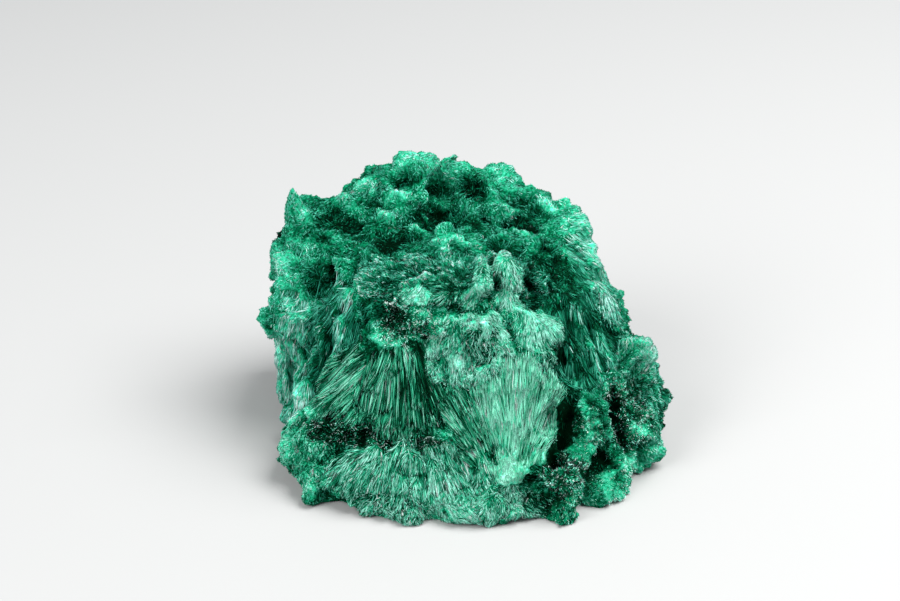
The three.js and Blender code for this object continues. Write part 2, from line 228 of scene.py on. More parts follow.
# How a kind of growth looks. Lying needles follow the rock away from the zone's root, and standing ones leave
# it. Length and width are ranges. Stray is how far needles turn aside, gather is how far their tips lean
# together, and rise is how far lying ones stand off the rock. Crowding is needles in a square millimetre,
# spread is how far their tones differ, glint is the share of bright ones and dust of greyish ones. Flute,
# lump and crumb are the relief of the rock below.
Habit = namedtuple(
    "Habit", "lying length width stray gather rise crowding spread glint dust flute lump crumb")
HABITS = {
    "fan": Habit(True, (2.2, 5.8), (0.05, 0.13), 0.02, 0.25, (0, 0.5), 44, 0.29, 0.02, 0.03, 0.5, 0.1, 0),
    "pale": Habit(True, (0.7, 2.2), (0.06, 0.14), 0.14, 0.35, (0, 0.5), 42, 0.24, 0.04, 0, 0.4, 0.2, 0.3),
    "reeds": Habit(True, (0.8, 2.6), (0.06, 0.14), 0.17, 0.25, (0, 0.6), 40, 0.26, 0.05, 0.04, 0.5, 0.3, 0.4),
    "ribs": Habit(True, (1.4, 3.4), (0.08, 0.16), 0.02, 0.15, (0, 0.2), 27, 0.15, 0.01, 0, 0.8, 0, 0.1),
    "folds": Habit(True, (1.2, 3.2), (0.08, 0.17), 0.08, 0.3, (0, 0.3), 16, 0.13, 0.01, 0.03, 1, 0.2, 0.3),
    "mat": Habit(True, (0.6, 1.8), (0.06, 0.13), 0.75, 0.15, (0, 0.6), 38, 0.36, 0.06, 0.05, 0.3, 0.3, 0.5),
    "crust": Habit(False, (0.2, 0.5), (0.08, 0.18), 0.8, 0.1, (0, 0), 32, 0.26, 0.08, 0.26, 0.1, 0.2, 1.2),
    "druse": Habit(False, (0.25, 0.6), (0.13, 0.28), 0.9, 0.05, (0, 0), 27, 0.2, 0.36, 0.46, 0, 0.7, 1.2),
    "bare": Habit(True, (0.4, 0.9), (0.08, 0.16), 0.2, 0.3, (0, 0.1), 5, 0.06, 0, 0, 0.2, 0, 0),
    "velvet": Habit(True, (0.3, 0.8), (0.11, 0.21), 0.65, 0.15, (0, 0.25), 9, 0.07, 0, 0.02, 0.1, 1, 1),
    "plush": Habit(True, (0.3, 0.8), (0.08, 0.16), 0.7, 0.15, (0, 0.4), 27, 0.16, 0.02, 0.05, 0.1, 0.6, 1),
    "tuft": Habit(True, (0.4, 1.4), (0.06, 0.14), 0.26, 0.3, (0, 0.5), 40, 0.28, 0.05, 0.02, 0.4, 0.3, 0.5),
}

# A zone is the part of the surface within its reach of its centre, and a later zone covers an earlier one.
# Its needles spread from its root.
Zone = namedtuple("Zone", "name piece centre reach root habit tone")
ZONES = [
    Zone("back_fan", "back_side", (-9, 28, 21), (9, 6, 11), (-7, 21, 44), "folds", 0.52),
    Zone("back_mat", "back_side", (16, 22, 26), (6, 6, 5), (11, 16, 36), "folds", 0.62),
    Zone("back_low_fan", "back_side", (10, 26, 14), (8, 6, 9), (5, 22, 34), "ribs", 0.48),
    Zone("back_druse", "back_side", (-22, 25, 9), (6, 5, 5), (-18, 20, 4), "druse", 0.38),
    Zone("back_foot", "back_side", (0, 29, 3), (15, 5, 3.4), (0, 22, 9), "plush", 0.58),
    Zone("left_wall", "left_side", (-28, 3, 11), (6.5, 16, 13), (-23, 3, 44), "folds", 0.73),
    Zone("left_folds", "left_side", (-21.5, -7, 19), (6, 9, 11), (-15, -7, 40), "folds", 0.52),
    Zone("right_wall", "right_side", (20, 8, 26), (6, 11, 9), (7, 2, 50), "folds", 0.64),
    Zone("right_lobe", "right_side", (29, -6, 12), (8, 11, 11), (24, -3, 10), "plush", 0.6),
    Zone("right_ribs", "right_side", (18.5, -8, 21), (5.5, 10, 9.5), (12, -2, 58), "ribs", 0.44),
    Zone("round_lobe", "right_side", (22.8, 1.2, 23), (3.2, 5, 4.2), (21, 4, 30), "pale", 0.56),
    Zone("crest", "top_velvet", (-2, -6, 31.5), (17, 6.5, 5), (-2, -4, 25), "plush", 0.6),
    Zone("lower_left", "front_mats", (-26, -19, 6), (6, 7, 7), (-23, -13, 18), "plush", 0.62),
    Zone("lower_tier", "front_mats", (-10, -26, 6), (14, 6, 6.5), (-9, -20, 26), "reeds", 0.72),
    Zone("rim", "front_mats", (-9, -30, 1.6), (17, 4, 2), (-9, -22, 7), "mat", 0.7),
    Zone("left_fan_side", "front_fans", (-20, -15, 16), (6, 6, 7), (-8, -13, 27), "fan", 0.54),
    # The left fan, which faces away from the key light, has a low tone, and the right fan, which faces it, a
    # high one: partly their own greens, partly painted shade and painted light.
    Zone("left_fan", "front_fans", (-10.5, -18.5, 17), (8, 6, 7.5), (-11.5, -11, 42), "fan", 0.39),
    Zone("right_fan_left", "front_fans", (1, -21.5, 13.5), (5, 5, 7.5), (6, -27.5, 2.5), "fan", 0.54),
    Zone("right_fan", "front_fans", (8.5, -21, 15), (7.5, 8, 9.5), (6.8, -27.5, 0.5), "fan", 0.91),
    Zone("saddle", "front_mats", (-0.5, -15.5, 23), (7.5, 6, 6), (-1, -9, 32), "mat", 0.96),
    Zone("olive_mat", "front_mats", (2.6, -15.6, 23.6), (3.2, 2.6, 3.6), (2.4, -10, 34), "mat", 0.5),
    Zone("small_fan", "front_mats", (-2.6, -14.3, 25.6), (2.4, 2, 2), (-2.4, -12, 27), "tuft", 0.68),
    Zone("fan_top", "front_mats", (12.5, -13.5, 21.5), (4, 3.5, 2.5), (12, -12, 28), "mat", 0.46),
    Zone("pale_fan", "front_mats", (11.2, -12.6, 25.2), (4.4, 3.8, 3.2), (8.8, -9.2, 30), "pale", 0.86),
    Zone("mint_fan", "front_mats", (6.8, -10.6, 28.2), (2.7, 2.2, 2.1), (6.2, -8.5, 31.5), "tuft", 0.9),
    Zone("green_lump", "front_mats", (5.9, -7.8, 32), (2.2, 2.8, 2.6), (6.2, -5, 37), "tuft", 0.6),
    Zone("pointed_lump", "front_mats", (1.9, -8, 32.8), (2.3, 3, 2.8), (2.4, -4, 38), "tuft", 0.62),
    Zone("curved_fan", "front_mats", (-4.8, -10.9, 31.1), (3.6, 2, 1.8), (-1.2, -9.8, 31.4), "tuft", 0.48),
    Zone("ridge_streak", "front_mats", (0, -10.8, 29.8), (1.5, 1.6, 1.9), (2, -9, 33), "tuft", 0.92),
    Zone("mint_streak", "front_mats", (-9, -11.3, 30.6), (2.6, 1.8, 1.7), (-6, -9, 33.5), "tuft", 0.96),
    # The fan's foot is painted near white: partly its own pale mint, partly a painted highlight.
    Zone("fan_foot", "front_fans", (5.8, -27.5, 7.2), (3.4, 3, 2.8), (6.6, -26, 0), "pale", 1.04),
    Zone("ledge", "front_mats", (6.5, -28.5, 2.4), (6, 4, 2.6), (6, -27, 9), "mat", 0.62),
    Zone("dark_hollow", "crystal_crusts", (-9.6, -13.9, 26.3), (5.2, 3.5, 2.7), (-10, -9, 24), "druse", 0.57),
    Zone("top_sparkles", "crystal_crusts", (-12.3, -12.1, 29.6), (2, 1.6, 1.5), (-12, -9, 27), "druse", 0.64),
    Zone("druse_row", "crystal_crusts", (-15.5, -21.3, 10.4), (5.5, 3, 1.9), (-15, -17, 8), "druse", 0.41),
    Zone("druse_row_end", "crystal_crusts", (-7, -23.3, 10.8), (3.2, 2.5, 1.1), (-7, -19, 9), "druse", 0.46),
    Zone("left_druse", "crystal_crusts", (-22.8, -18.5, 10.6), (3.6, 3.4, 2.8), (-20, -14, 8), "druse", 0.32),
    # The crevice zones' low tones are partly the rock's own dark green and partly painted shade in the
    # crevice.
    Zone("crevice", "right_side", (14.9, -19.5, 12.8), (2, 3.5, 4.7), (14, -16, 20), "bare", 0.36),
    Zone("crevice_foot", "right_side", (13.4, -24.5, 9.2), (1.5, 3.5, 2.4), (13, -20, 14), "bare", 0.24),
    Zone("between_lobes", "crystal_crusts", (19, -20.3, 11.5), (2.9, 3.6, 5), (18, -16, 10), "crust", 0.5),
    Zone("right_lobe_druse", "crystal_crusts", (26, -14, 11), (4.5, 5, 5.5), (23, -9, 9), "druse", 0.43),
    Zone("lobe_sparkles", "crystal_crusts", (27.4, -15.2, 8.8), (2.1, 2.2, 1.6), (25, -11, 7), "druse", 0.62),
    Zone("right_lobe_foot", "crystal_crusts", (25, -20, 3), (6, 6, 3.6), (22, -16, 6), "crust", 0.56),
    Zone("lower_druse", "crystal_crusts", (16, -27.5, 7), (5, 4.5, 3.5), (15, -23, 4), "druse", 0.5),
    Zone("lower_druse_foot", "crystal_crusts", (16, -28.8, 1.8), (6, 5, 2.6), (15, -24, 5), "crust", 0.58),
]
OPEN_HABIT = "velvet"
OPEN_TONE = 0.63

# Single folds, ridges, lumps, pits and slits: the name, the points that it runs through, how wide it is, how
# far it rises or sinks, and how much paler or darker it is. A point of two numbers is a pixel of the photo,
# and one of three is a place.
# Where a valley, pit, slit, groove, gap, hollow, crevice or cavity is painted darker, that darker tone is
# painted shade. Where a fold, ridge, peak or lump is painted paler, that is partly the stone's own paler
# green and partly painted light.
MARKS = [
    # The left wall and the lower left.
    ("left wall, pale fold", [(315, 352), (303, 400), (296, 422)], 0.8, 0.9, 0.16),
    ("left wall, long fold", [(343, 320), (338, 345), (321, 380), (309, 412)], 0.8, 1.1, 0.12),
    ("left wall, valley between the folds", [(329, 326), (323, 364), (313, 398)], 0.8, -1.3, -0.22),
    ("left wall, outer valley", [(305, 352), (297, 390)], 0.8, -0.9, -0.16),
    ("left wall, inner valley", [(363, 316), (352, 336), (342, 356)], 0.6, -0.8, -0.18),
    ("left wall, outer fold", [(281, 350), (285, 400)], 0.8, 0.6, 0.1),
    ("lobes over the left wall", [(283, 328), (300, 316), (318, 306)], 1, 0.7, 0.06),
    ("pit over the left wall", [(331, 276), (332, 286)], 1, -1.8, -0.3),
    ("left fan, pale border", [(353, 362), (335, 382), (317, 400)], 0.6, 0.6, 0.22),
    ("groove under the left wall", [(296, 425), (306, 417)], 0.5, -0.9, -0.2),
    ("lower left, hollow filled", [(292, 432), (292, 450)], 1.3, 1.8, 0.1),
    ("lower left, band", [(288, 455), (305, 474), (314, 496)], 1, 0.5, 0.12),
    ("lower left, dark spots", [(290, 474), (300, 470)], 0.6, -0.6, -0.18),
    ("groove beside the lower tier", [(343, 460), (355, 496)], 0.6, -0.8, -0.18),
    ("dark streak to the druse row", [(321, 460), (337, 450)], 0.6, -0.5, -0.22),
    # The crest and the saddle.
    ("outer arc of the crest", [(345, 300), (358, 283), (376, 271), (398, 264), (420, 261), (445, 264),
      (462, 270)], 0.8, 1, 0.06),
    ("valley inside the outer arc", [(385, 282), (415, 272), (445, 272)], 0.6, -0.9, -0.18),
    ("inner arc of the crest", [(402, 284), (420, 277), (440, 275), (460, 279), (476, 288)], 0.6, 0.7, 0.1),
    ("pointed peak", [(482, 262), (484, 284)], 1.1, 2.2, 0.12),
    ("slit right of the peak", [(491, 260), (497, 284)], 0.75, -2.8, -0.45),
    ("second peak", [(505, 262), (510, 282)], 1.1, 1.6, 0.12),
    ("slit right of the second peak", [(529, 262), (532, 304)], 0.8, -2.8, -0.45),
    ("third peak", [(544, 272), (546, 284)], 1, 0.8, 0),
    ("pit by the third peak", [(554, 283), (554, 285)], 0.6, -1, -0.25),
    ("ridge over the saddle", [(490, 306), (506, 298), (517, 309)], 0.6, 0.8, 0.1),
    ("hollow over the saddle", [(520, 296), (524, 308)], 0.6, -0.9, -0.25),
    ("pale lobe", [(528, 314), (545, 326), (560, 336)], 1.3, 0.9, 0.1),
    ("white spot", [(484, 318), (486, 327)], 0.6, 0.9, 0.45),
    ("white spots of the saddle", [(453, 358), (459, 363)], 0.5, 0.3, 0.42),
    # The fans, the druses and the lower tier.
    ("dark top of the right fan", [(548, 346), (566, 352)], 0.9, -0.5, -0.28),
    ("dark top of the left fan", [(420, 352), (446, 366)], 0.9, -0.5, -0.14),
    ("hollow with crystals", [(384, 316), (404, 326), (424, 338)], 1.4, -0.8, -0.08),
    ("fold left of the hollow", [(372, 318), (378, 340)], 0.6, 0.4, 0.16),
    ("dark top of the lower tier", [(-12.5, -24.6, 8.2), (-3.0, -25.4, 8.6)], 1.8, 0, -0.15),
    ("dark middle of the lower tier", [(-16.0, -26.4, 4.6), (-10.5, -28.2, 3.8)], 1.6, 0, -0.08),
    ("dark strip under the saddle", [(3.0, -16.5, 22.5), (6.0, -17.4, 20.5)], 1.6, -0.2, -0.14),
    ("mint edge under the hollow", [(372, 338), (400, 346), (425, 356)], 0.6, 0.4, 0.18),
    # The druse row is dark partly for its dark crystals and partly as painted shade under the left fan's
    # overhang.
    ("druse row", [(346, 434), (362, 437), (376, 434), (396, 441)], 0.6, -0.5, -0.1),
    ("druse patch at the left", [(322, 424), (338, 428)], 1.1, 0.3, -0.04),
    ("pale path in the lower tier", [(400, 432), (412, 462), (420, 496)], 0.9, 0.3, 0.12),
    ("left border of the right fan", [(448, 404), (476, 440), (498, 468)], 0.5, -0.5, -0.16),
    ("dark gap in the right fan", [(470, 392), (482, 424), (497, 452)], 0.5, -0.5, -0.26),
    # The foot of the right fan is painted paler: partly its own pale mint, partly a painted highlight.
    ("foot of the right fan", [(504, 482), (508, 470), (514, 454), (520, 438)], 0.8, 0.5, 0.28),
    ("right border of the right fan", [(578, 380), (562, 420), (542, 462)], 0.6, 0.9, 0.1),
    ("crevice", [(573, 398), (568, 420), (562, 440), (553, 462)], 0.85, -3, -0.14),
    # The ledge.
    ("hollow of the ledge", [(8.6, -26.6, 2.3), (11.4, -28.4, 2.4)], 1.3, -1.2, -0.26),
    ("edge of the ledge", [(480, 514), (505, 508), (530, 484), (540, 476)], 0.5, 0.6, 0.14),
    # The ribs and the lobes at the right.
    ("round lobe", [(600, 292), (610, 306)], 2, 1.3, 0.2),
    ("gap under the round lobe", [(602, 326), (622, 332)], 0.7, -1.2, -0.3),
    ("first rib", [(558, 318), (566, 350), (580, 384)], 0.6, 0.8, 0.06),
    ("first rib's valley", [(568, 316), (576, 350), (592, 388)], 0.5, -0.9, -0.2),
    ("second rib", [(576, 306), (590, 346), (606, 388)], 0.6, 0.9, 0.1),
    ("second rib's valley", [(586, 312), (598, 346), (612, 376)], 0.5, -0.9, -0.18),
    ("third rib", [(594, 326), (604, 350), (616, 370)], 0.5, 0.7, 0.16),
    ("strip below the ribs", [(604, 392), (613, 428), (612, 446)], 0.8, 0.6, 0.08),
    ("nugget between the lobes", [(586, 408), (594, 426), (588, 446)], 1.3, 0.3, 0.1),
    ("pit over the nugget", [(592, 401), (600, 404)], 0.6, -1.5, -0.4),
    ("groove by the right lobe", [(615, 388), (618, 426), (628, 450)], 0.6, -1.5, -0.38),
    ("pit by the lower druse", [(606, 456), (616, 466)], 0.5, -0.4, -0.3),
    # The lower druse.
    ("dark top of the lower druse", [(548, 464), (572, 456), (584, 462)], 0.8, -0.3, -0.22),
    ("pale point of the lower druse", [(566, 508), (569, 520)], 0.8, 0.3, 0.22),
    ("pale right side of the lower druse", [(606, 480), (618, 470), (630, 458)], 1, 0.3, 0.14),
    # The right lobe.
    ("pale crystals of the right lobe", [(636, 424), (646, 432)], 1, 0.5, 0.2),
    ("dark spot of the right lobe", [(634, 442), (642, 446)], 0.6, -0.8, -0.25),
    ("edge of the right lobe", [(656, 400), (662, 428), (651, 452)], 0.8, 0.3, 0.12),
    ("right lobe, grey face", [(636, 344), (648, 366)], 1.5, 0.4, 0.12),
    ("right lobe, dark top", [(618, 334), (634, 332)], 0.8, -0.3, -0.14),
    # Cavities of the top and back, painted darker as painted shade.
    ("top cavity 1", [(402, 182), (414, 180)], 1, -1, -0.17),
    ("top cavity 2", [(430, 190), (444, 186)], 1, -1.1, -0.17),
    ("top cavity 3", [(464, 184), (480, 190)], 1.2, -1.3, -0.2),
    ("top cavity 4", [(440, 208), (450, 207)], 1, -1.1, -0.17),
    ("top cavity 5", [(462, 219), (474, 222)], 1, -1.1, -0.18),
    ("top cavity 6", [(407, 233), (414, 235)], 0.8, -1, -0.15),
    ("top cavity 7", [(384, 247), (392, 248)], 0.8, -1, -0.18),
    ("top cavity 8", [(494, 246), (514, 250)], 1, -1.1, -0.18),
    ("top cavity 9", [(534, 206), (538, 210)], 0.8, -1, -0.15),
    ("top cavity 10", [(486, 218), (494, 224)], 0.8, -0.8, -0.14),
    ("top cavity 11", [(548, 220), (553, 232)], 1, -0.6, -0.12),
    ("top cavity 12", [(360, 234), (366, 236)], 0.8, -0.7, -0.12),
    ("top cavity 13", [(318, 238), (326, 240)], 0.8, -0.6, -0.1),
    ("top cavity 14", [(546, 246), (552, 252)], 0.8, -0.7, -0.15),
    # Pale lumps of the top and back, partly the stone's own paler green and partly painted light.
    ("top lump 1", [(396, 160), (410, 160)], 1.5, 0.7, 0.12),
    ("top lump 2", [(436, 168), (446, 170)], 1.2, 0.8, 0.18),
    ("top lump 3", [(490, 178), (500, 180)], 1, 0.6, 0.1),
    ("top lump 4", [(364, 184), (370, 186)], 1.4, 0.9, 0.2),
    ("top lump 5", [(345, 200), (362, 212)], 1.3, 0.8, 0.14),
    ("top lump 6", [(306, 218), (318, 212)], 1.3, 0.6, 0.1),
    ("top lump 7", [(382, 214), (390, 216)], 1.2, 0.9, 0.22),
    ("top lump 8", [(398, 194), (404, 197)], 0.7, 0.9, 0.26),
    ("top lump 9", [(442, 204), (448, 203)], 0.5, 0.8, 0.3),
    ("top lump 10", [(426, 216), (431, 220)], 0.7, 0.9, 0.24),
    ("top lump 11", [(412, 224), (420, 226)], 0.7, 0.8, 0.2),
    ("top lump 12", [(430, 243), (442, 248)], 1, 0.9, 0.14),
    ("top lump 13", [(456, 240), (468, 244)], 1, 0.8, 0.12),
    ("top lump 14", [(543, 202), (552, 208)], 1, 0.9, 0.34),
    ("top lump 15", [(520, 226), (528, 232)], 1, 0.7, 0.16),
    ("top lump 16", [(562, 240), (566, 256)], 0.8, 0.6, 0.14),
    ("top lump 17", [(574, 216), (580, 228)], 1.2, 0.4, 0.06),
    ("top lump 18", [(588, 246), (592, 270)], 0.7, 0.5, 0.1),
    ("top lump 19", [(500, 206), (512, 214)], 1, 0.7, 0.16),
    ("top lump 20", [(470, 240), (478, 246)], 0.8, 0.7, 0.1),
    ("top lump 21", [(285, 262), (292, 280)], 1.5, 0.5, 0.1),
    ("top lump 22", [(306, 250), (318, 256)], 1.2, 0.6, 0.12),
    # The horn, the hump and the shoulders.
    ("horn", [(-28.7, 15.2, 32.6), (-28.5, 15.2, 32.8)], 1.6, 2.8, 0.06),
    ("tip of the horn", [(-29.2, 15.2, 32.4), (-29.1, 15.2, 32.5)], 0.9, 3, 0.04),
    ("top of the hump", [(-11.5, 19.1, 40.2), (-8.2, 19.4, 40.0)], 3, 1.3, 0),
    ("right side of the hump", [(-6.5, 21.3, 38.3), (-3.2, 21.4, 36.8)], 2.2, 2.9, 0),
    ("foot of the hump", [(-3.2, 21.4, 36.6), (-0.5, 19.5, 37.0)], 1.8, 2.6, 0),
    ("edge of the back", [(1.9, 22.7, 37.2), (5.3, 22.3, 36.6), (8.7, 20.6, 35.1),
      (12.1, 19.6, 34.4)], 2.4, 1.1, 0),
    ("right shoulder", [(17.7, 12.7, 32.3), (19.8, 9.6, 29.5), (20.8, 8.4, 27.0)], 2.4, 1.6, 0.05),
    ("low right shoulder", [(23.0, 14.5, 21.5), (24.4, 16.0, 18.4)], 2.6, 1.4, 0),
    ("shoulder of the right lobe", [(27.3, -3.4, 18.0), (28.5, -3.4, 16.9)], 1.8, 1.6, 0),
    ("left shoulder", [(-31.3, 12.4, 26.2), (-32.2, 13.7, 23.0)], 3, 1.5, 0.05),
    ("edge of the left wall", [(-31.1, 3.4, 24.2), (-31.1, 2.7, 13.1)], 2.6, 1.2, 0.05),
    # The edge of the base at the front and the right.
    ("front edge of the base", [(-2.0, -30.5, 1.6), (3.0, -30.2, 1.6), (8.0, -28.2, 1.4)], 2, 1.9, 0),
    ("corner of the base", [(20.0, -24.0, 1.3), (21.6, -23.0, 1.3)], 1.8, 1.3, 0),
    ("right edge of the base", [(20.8, -23.6, 1.5), (25.0, -19.0, 1.5), (28.1, -13.2, 1.5),
      (30.4, -10.4, 2.0)], 2.2, 1.6, 0),
    ("edge of the base under the ledge", [(4.5, -28.6, 1.4), (9.8, -27.6, 1.4)], 1.8, 3, 0),
]


def unit(arrows):
    """The same arrows, each of length 1."""
    return arrows / np.maximum(np.linalg.norm(arrows, axis=1), TINY)[:, None]


def dots(a, b):
    """The dot product of each pair of arrows."""
    return (a * b).sum(axis=1)


def between(ends, share):
    """The values a share of the way from the first to the second of each pair of ends."""
    return ends[:, 0] + (ends[:, 1] - ends[:, 0]) * share


def hashed(cells, seed):
    """A repeatable number from 0 to 1 for each whole-numbered cell."""
    with np.errstate(over="ignore"):
        x, y, z = (cells[:, i].astype(np.uint64) * np.uint64(prime) for i, prime in enumerate(AXIS_PRIMES))
        mixed = x ^ y ^ z ^ np.uint64(seed * SEED_PRIME + SEED_START)
        for shift, mixer in MIXERS:
            mixed = (mixed ^ (mixed >> np.uint64(shift))) * np.uint64(mixer)
        mixed ^= mixed >> np.uint64(LAST_SHIFT)
    return (mixed & np.uint64(LOW_BITS)).astype(float) / LOW_BITS


def noise(places, size, seed):
    """Smooth noise from -1 to 1, whose lumps are about size across."""
    spots = places / size
    cells = np.floor(spots).astype(np.int64)
    part = spots - cells
    part = part * part * (3 - 2 * part)
    total = np.zeros(len(places))
    for corner in product((0, 1), repeat=3):
        share = np.prod(np.where(corner, part, 1 - part), axis=1)
        total += share * hashed(cells + np.array(corner), seed)
    return 2 * total - 1


def swells(places, kinds):
    """The sum of several kinds of noise, each given by its size, height and seed."""
    return sum(height * noise(places, size, seed) for size, height, seed in kinds)


def drifted(places, size, far, seed):
    """The places, each moved up to far by noise, so that borders drawn through them are ragged."""
    moves = [noise(places, size, seed + i) for i in range(3)]
    return places + far * np.stack(moves, axis=1)


def zones_at(places):
    """The zone that holds each place, or -1 on the open surface."""
    spots = places
    for drift in ZONE_DRIFTS:
        spots = drifted(spots, *drift)
    found = np.full(len(places), -1)
    for i, zone in enumerate(ZONES):
        far = (((spots - zone.centre) / zone.reach) ** 2).sum(axis=1)
        found[far < 1] = i
    return found


def column(field):
    """One field of the habits of every zone, with the open surface last."""
    habits = [HABITS[zone.habit] for zone in ZONES] + [HABITS[OPEN_HABIT]]
    return np.array([getattr(habit, field) for habit in habits], float)


def points_of(mesh, kind):
    """The vertices' places, in millimetres, or their normals."""
    values = np.zeros(len(mesh.vertices) * 3, np.float32)
    if kind == "normal":
        mesh.vertex_normals.foreach_get("vector", values)
        return values.reshape(-1, 3).astype(float)
    mesh.vertices.foreach_get("co", values)
    return values.reshape(-1, 3).astype(float) / MM


def edges_of(mesh):
    """The two vertices of each edge."""
    edges = np.zeros(len(mesh.edges) * 2, np.int32)
    mesh.edges.foreach_get("vertices", edges)
    return edges.reshape(-1, 2)


def corners_of(mesh):
    """The three vertices of each triangle."""
    mesh.calc_loop_triangles()
    corners = np.zeros(len(mesh.loop_triangles) * 3, np.int32)
    mesh.loop_triangles.foreach_get("vertices", corners)
    return corners.reshape(-1, 3)


def seen_place(pixel, triangles):
    """Where a pixel of the photo meets the solid of these triangles, in millimetres, to the nearest tenth."""
    right = (pixel[0] - PHOTO_WIDTH / 2) / FOCAL_PIXELS
    up = (PHOTO_HEIGHT / 2 - pixel[1]) / FOCAL_PIXELS
    ahead, down = math.cos(CAMERA_PITCH), math.sin(CAMERA_PITCH)
    sight = np.array([right, ahead + up * down, up * ahead - down])
    eye = np.array(CAMERA_PLACE) / MM
    start = triangles[:, 0]
    side, other = triangles[:, 1] - start, triangles[:, 2] - start
    square = np.cross(sight, other)
    turned = np.cross(eye - start, side)
    size = dots(side, square)
    size = np.where(abs(size) < TINY, TINY, size)
    along_side = dots(eye - start, square) / size
    along_other = turned @ sight / size
    far = dots(turned, other) / size
    hit = (along_side >= 0) & (along_other >= 0) & (along_side + along_other <= 1) & (far > 0)
    return tuple(round(float(value), 1) for value in eye + sight * far[hit].min())


@cache
def placed_marks():
    """Every mark's path, with its pixels cast on to the solid, and its width, rise and change of tone."""
    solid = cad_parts[NODE].data
    triangles = points_of(solid, "place")[corners_of(solid)]
    placed = []
    for _, path, width, rise, paler in MARKS:
        places = [point if len(point) == 3 else seen_place(point, triangles) for point in path]
        placed.append((places, width, rise, paler))
    return placed


def far_from(places, path):
    """How far each place is from a path of points."""
    best = np.full(len(places), np.inf)
    for a, b in zip(path[:-1], path[1:]):
        a, b = np.array(a), np.array(b)
        along = np.clip((places - a) @ (b - a) / max((b - a) @ (b - a), TINY), 0, 1)
        best = np.minimum(best, np.linalg.norm(places - a - along[:, None] * (b - a), axis=1))
    return best


def marked(places):
    """How far the marks move the rock at each place, and how much they change its tone: painted shade in
    their valleys, pits, slits, grooves and cavities, and partly painted light on their folds, ridges and
    lumps.
    """
    spots = drifted(places, *MARK_DRIFT)
    rise, tone = np.zeros(len(places)), np.zeros(len(places))
    for path, width, height, paler in placed_marks():
        share = np.exp(-(far_from(spots, path) / width) ** 2)
        rise += height * share
        tone += paler * share
    return rise, tone


def spread_picks(places, spacing, tries):
    """Some of the places, at least spacing apart."""
    picked = []
    for i in RANDOM.permutation(len(places))[:tries]:
        if all(np.linalg.norm(places[i] - places[j]) > spacing for j in picked):
            picked.append(i)
    return np.array(picked)


def tree_of(places):
    """A tree that finds the nearest of the places."""
    tree = KDTree(len(places))
    for i, place in enumerate(places):
        tree.insert(place, i)
    tree.balance()
    return tree


def nearest(centres, places):
    """Which of the centres is nearest to each place."""
    tree = tree_of(centres)
    return np.array([tree.find(place)[1] for place in places])


def domes(places, centres, steep=0):
    """For each place, its nearest centre, and how high it lies on the dome round that centre, from 0 to 1.
    A dome with a steepness has a flat top and steep sides."""
    tree = tree_of(centres)
    found = [tree.find_n(place, 2) for place in places]
    first = np.array([pair[0][1] for pair in found])
    near, after = (np.array([pair[i][2] for pair in found]) for i in (0, 1))
    if steep:
        return first, np.clip(steep * (1 - near / after), 0, 1)
    return first, np.sqrt(np.clip(1 - (near / after) ** 2, 0, 1))


def evened(values, edges, rounds):
    """Values at the vertices, each drawn towards the mean of its neighbours."""
    ends = np.concatenate([edges, edges[:, ::-1]])
    count = np.bincount(ends[:, 0], minlength=len(values))
    for _ in range(rounds):
        sums = [np.bincount(ends[:, 0], numbers[ends[:, 1]], len(values)) for numbers in values.T]
        values = 0.5 * values + 0.5 * (np.stack(sums) / count).T
    return values


def squeezed(places, roots):
    """The places drawn in along the needles, so that what is round there is long on the rock."""
    far = np.linalg.norm(places - roots, axis=1)[:, None]
    return roots + unit(places - roots) * (SQUEEZE_START + SQUEEZE_SHARE * far)


def linked(name, data):
    """A new object in the scene."""
    made = bpy.data.objects.new(name, data)
    bpy.context.scene.collection.objects.link(made)
    return made


def remeshed_node():
    """A copy of the node's mesh, rebuilt in small even faces."""
    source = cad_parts[NODE].data.copy()
    shell = bmesh.new()
    shell.from_mesh(source)
    bmesh.ops.remove_doubles(shell, verts=shell.verts, dist=MERGE_REACH * MM)
    shell.to_mesh(source)
    shell.free()
    coarse = linked("coarse", source)
    remesh = coarse.modifiers.new("remesh", "REMESH")
    remesh.mode = "VOXEL"
    remesh.voxel_size = VOXEL * MM
    bpy.context.view_layer.update()
    fine = bpy.data.meshes.new_from_object(coarse.evaluated_get(bpy.context.evaluated_depsgraph_get()))
    bpy.data.objects.remove(coarse)
    bpy.data.meshes.remove(source)
    return fine


def grow_lumps(places, normals, zone):
    """The centres, roots, heights and hollows of the lumps on the open surface."""
    picks = spread_picks(places, LUMP_SPACING, LUMP_TRIES)
    centres = places[picks]
    side = unit(np.cross(normals[picks], RANDOM.normal(size=(len(picks), 3))))
    aside = side * RANDOM.uniform(0, LUMP_ROOT_ASIDE, (len(picks), 1))
    roots = centres - normals[picks] * LUMP_ROOT_DEPTH + aside
    hollow = (RANDOM.random(len(picks)) < HOLLOW_SHARE) & (zone[picks] < 0)
    height = RANDOM.uniform(-LUMP_UNEVEN, LUMP_UNEVEN, len(picks)) - HOLLOW_DEPTH * hollow
    return centres, roots, height, hollow


def crumbs_at(places):
    """How high each place lies on the dome of its crumb, and how uneven that crumb's height is."""
    count = int(len(places) * (VOXEL / CRUMB_SIZE) ** 2)
    centres = places[RANDOM.choice(len(places), count, replace=False)]
    crumb, dome = domes(drifted(places, *CRUMB_DRIFT), centres, CRUMB_STEEPNESS)
    height = RANDOM.uniform(-CRUMB_UNEVEN, CRUMB_UNEVEN, count)
    return dome, height[crumb]


def zone_roots(zone, lump, lump_roots):
    """Where the needles of each place begin to spread."""
    named = np.array([z.root for z in ZONES] + [(0, 0, 0)], float)
    return np.where((zone >= 0)[:, None], named[zone], lump_roots[lump])


